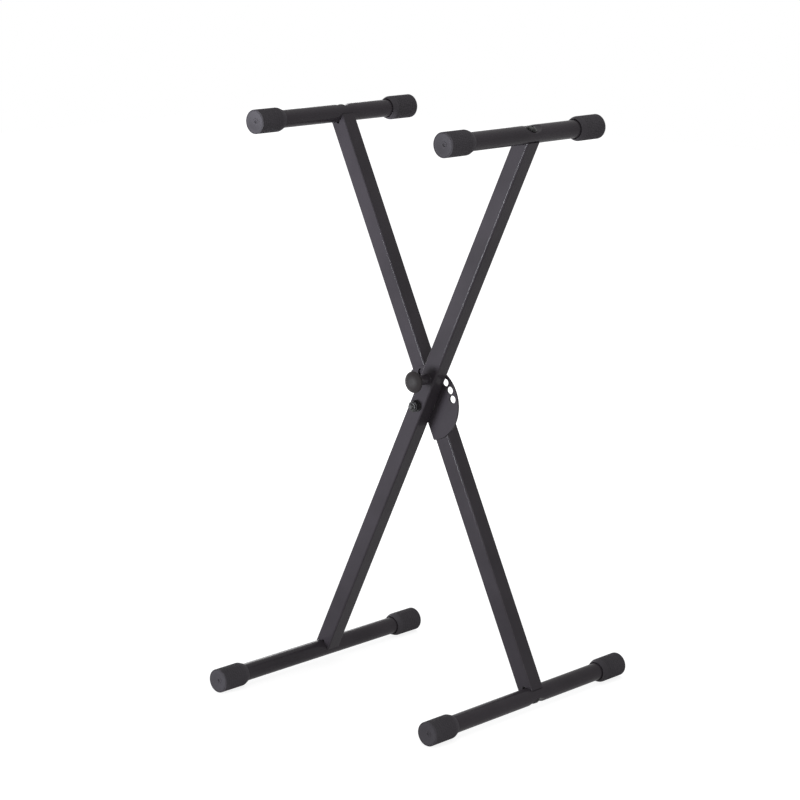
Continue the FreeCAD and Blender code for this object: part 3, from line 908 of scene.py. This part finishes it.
def model_housing_weld():
    """The weld round the pin housing: a slightly uneven ring."""
    bpy.ops.object.select_all(action="DESELECT")
    bpy.ops.mesh.primitive_torus_add(
        major_segments=RING_WELD_SEGMENTS,
        minor_segments=RING_WELD_SIDES,
        major_radius=HOUSING_RADIUS + RING_WELD_GAP,
        minor_radius=RING_WELD_RADIUS,
    )
    ring = bpy.context.object

    def in_every_other_step(face):
        angle = face.calc_center_median().to_2d().angle_signed(Vector((1, 0)), 0)
        return int(angle / RING_WELD_STEP) % 2 == 0

    work_on(ring)
    select_parts(ring, "FACE", in_every_other_step)
    bpy.ops.transform.shrink_fatten(value=-RING_WELD_SWELL)
    bpy.ops.object.mode_set(mode="OBJECT")
    return close_up(ring, smooth_angle=60)


leg_up = Vector((-math.sin(LEG_LEAN), 0, math.cos(LEG_LEAN)))
leg_right = Vector((math.cos(LEG_LEAN), 0, math.sin(LEG_LEAN)))
pivot = middle_of("pivot_bolt")
plate_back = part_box("lock_plate")[1].y
bead_pattern = model_bead()
for side, across in (("left", -LEG_WIDTH / 2), ("right", LEG_WIDTH / 2)):
    for end, along in zip(("lower", "upper"), BEAD_PLACES):
        place = pivot + leg_right * across + leg_up * along
        place.y = plate_back + BEAD_RADIUS / 2
        fit(
            bead_pattern,
            f"plate_weld_{side}_{end}",
            stand_on(place, leg_up),
            body_of("lock_plate"),
            "black_coat",
        )
bpy.data.objects.remove(bead_pattern)

housing_weld = model_housing_weld()
weld_place = middle_of("pin_housing")
weld_place.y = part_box("front_leg")[0].y
fit(
    housing_weld,
    "pin_housing_weld",
    stand_on(weld_place, TO_FRONT),
    body_of("pin_housing"),
    "black_coat",
)
bpy.data.objects.remove(housing_weld)


# Floor, light and camera

FLOOR_SIZE = 14
FLOOR_BOUNCE = 0.9
FLOOR_SHADE = 0.4
# The floor's own light, from near the object to far from it.
FLOOR_NEAR, FLOOR_NEAR_GLOW = 0.6, 0.82
FLOOR_FAR, FLOOR_FAR_GLOW = 2.2, 1.0
WORLD_LIGHT = 0.36
WORLD_VIEW = 1.0


def lit_background(tree, shader_for_light, shader_for_view):
    """Mixes two shaders: one that lights the scene, one that the camera and reflections see."""
    path = add_node(tree, "ShaderNodeLightPath")
    seen = math_node(
        tree, "MAXIMUM", path.outputs["Is Camera Ray"], path.outputs["Is Glossy Ray"]
    )
    seen = math_node(tree, "MAXIMUM", seen, path.outputs["Is Transmission Ray"])
    return add_node(
        tree, "ShaderNodeMixShader", {0: seen, 1: shader_for_light, 2: shader_for_view}
    ).outputs[0]


def make_floor():
    """A white floor that takes the object's shadow and fades into the background."""
    bpy.ops.object.select_all(action="DESELECT")
    bpy.ops.mesh.primitive_plane_add(size=FLOOR_SIZE, location=(0, 0, 0))
    floor = bpy.context.object
    floor.name = "studio_floor"
    paper = bpy.data.materials.new("white_paper")
    paper.use_nodes = True
    tree = paper.node_tree
    tree.nodes.remove(tree.nodes["Principled BSDF"])
    bounce = add_node(tree, "ShaderNodeBsdfDiffuse", {"Color": grey(FLOOR_BOUNCE)})
    place = add_node(tree, "ShaderNodeTexCoord").outputs["Object"]
    away = add_node(tree, "ShaderNodeVectorMath", {0: place}, operation="LENGTH")
    level = spread_out(
        tree,
        away.outputs["Value"],
        FLOOR_NEAR,
        FLOOR_FAR,
        FLOOR_NEAR_GLOW,
        FLOOR_FAR_GLOW,
    )
    glow = add_node(tree, "ShaderNodeEmission", {"Color": grey(1.0), "Strength": level})
    shade = add_node(tree, "ShaderNodeBsdfDiffuse", {"Color": grey(FLOOR_SHADE)})
    view = add_node(tree, "ShaderNodeAddShader", {0: glow.outputs[0], 1: shade.outputs[0]})
    surface = lit_background(tree, bounce.outputs[0], view.outputs[0])
    tree.links.new(surface, tree.nodes["Material Output"].inputs["Surface"])
    floor.data.materials.append(paper)


def make_world():
    """A white surround that lights the object less than it shows."""
    world = bpy.data.worlds.new("studio")
    bpy.context.scene.world = world
    world.use_nodes = True
    tree = world.node_tree
    tree.nodes.remove(tree.nodes["Background"])
    light, view = (
        add_node(tree, "ShaderNodeBackground", {"Color": grey(1.0), "Strength": strength})
        for strength in (WORLD_LIGHT, WORLD_VIEW)
    )
    surface = lit_background(tree, light.outputs[0], view.outputs[0])
    tree.links.new(surface, tree.nodes["World Output"].inputs["Surface"])


def add_softbox(name, place, target, size, power, beam=180, colour=(1, 1, 1)):
    """A square lamp that points at a target; power in watts, beam in degrees."""
    lamp = bpy.data.lights.new(name, "AREA")
    lamp.size = size
    lamp.energy = power
    lamp.spread = math.radians(beam)
    lamp.color = colour
    holder = bpy.data.objects.new(name, lamp)
    direction = Vector(target) - Vector(place)
    turned = direction.to_track_quat("-Z", "Y").to_matrix().to_4x4()
    holder.matrix_world = Matrix.Translation(place) @ turned
    bpy.context.scene.collection.objects.link(holder)


def add_camera():
    """The camera that the photograph was taken with."""
    lens = bpy.data.cameras.new("photo_camera")
    lens.sensor_width = SENSOR_WIDTH
    lens.lens = CAMERA_LENS
    camera = bpy.data.objects.new("photo_camera", lens)
    level = math.cos(CAMERA_ABOVE)
    forward = Vector(
        (
            -math.sin(CAMERA_ROUND) * level,
            math.cos(CAMERA_ROUND) * level,
            -math.sin(CAMERA_ABOVE),
        )
    )
    right = Vector((math.cos(CAMERA_ROUND), math.sin(CAMERA_ROUND), 0))
    up = right.cross(forward)
    rolled_right = right * math.cos(CAMERA_ROLL) + up * math.sin(CAMERA_ROLL)
    rolled_up = up * math.cos(CAMERA_ROLL) - right * math.sin(CAMERA_ROLL)
    turned = Matrix((rolled_right, rolled_up, -forward)).transposed().to_4x4()
    camera.matrix_world = Matrix.Translation(CAMERA_PLACE) @ turned
    bpy.context.scene.collection.objects.link(camera)
    bpy.context.scene.camera = camera


make_floor()
make_world()
add_softbox(
    "key_softbox",
    place=(-0.76, -1.86, 0.36),
    target=(-0.4, 0, 1.1),
    size=0.7,
    power=22,
    beam=90,
    colour=(0.92, 0.96, 1),
)
add_softbox(
    "camera_softbox", place=(2.3, -1.85, 1.3), target=(0, 0, 0.5), size=1.1, power=24
)
add_softbox("top_softbox", place=(0.4, 0.5, 2.6), target=(0, 0, 0.5), size=1.4, power=12)
add_softbox(
    "back_softbox", place=(-2.2, 1.35, 0.9), target=(0, 0, 0.55), size=1.3, power=24
)
add_camera()
bpy.context.scene.view_settings.view_transform = "Standard"
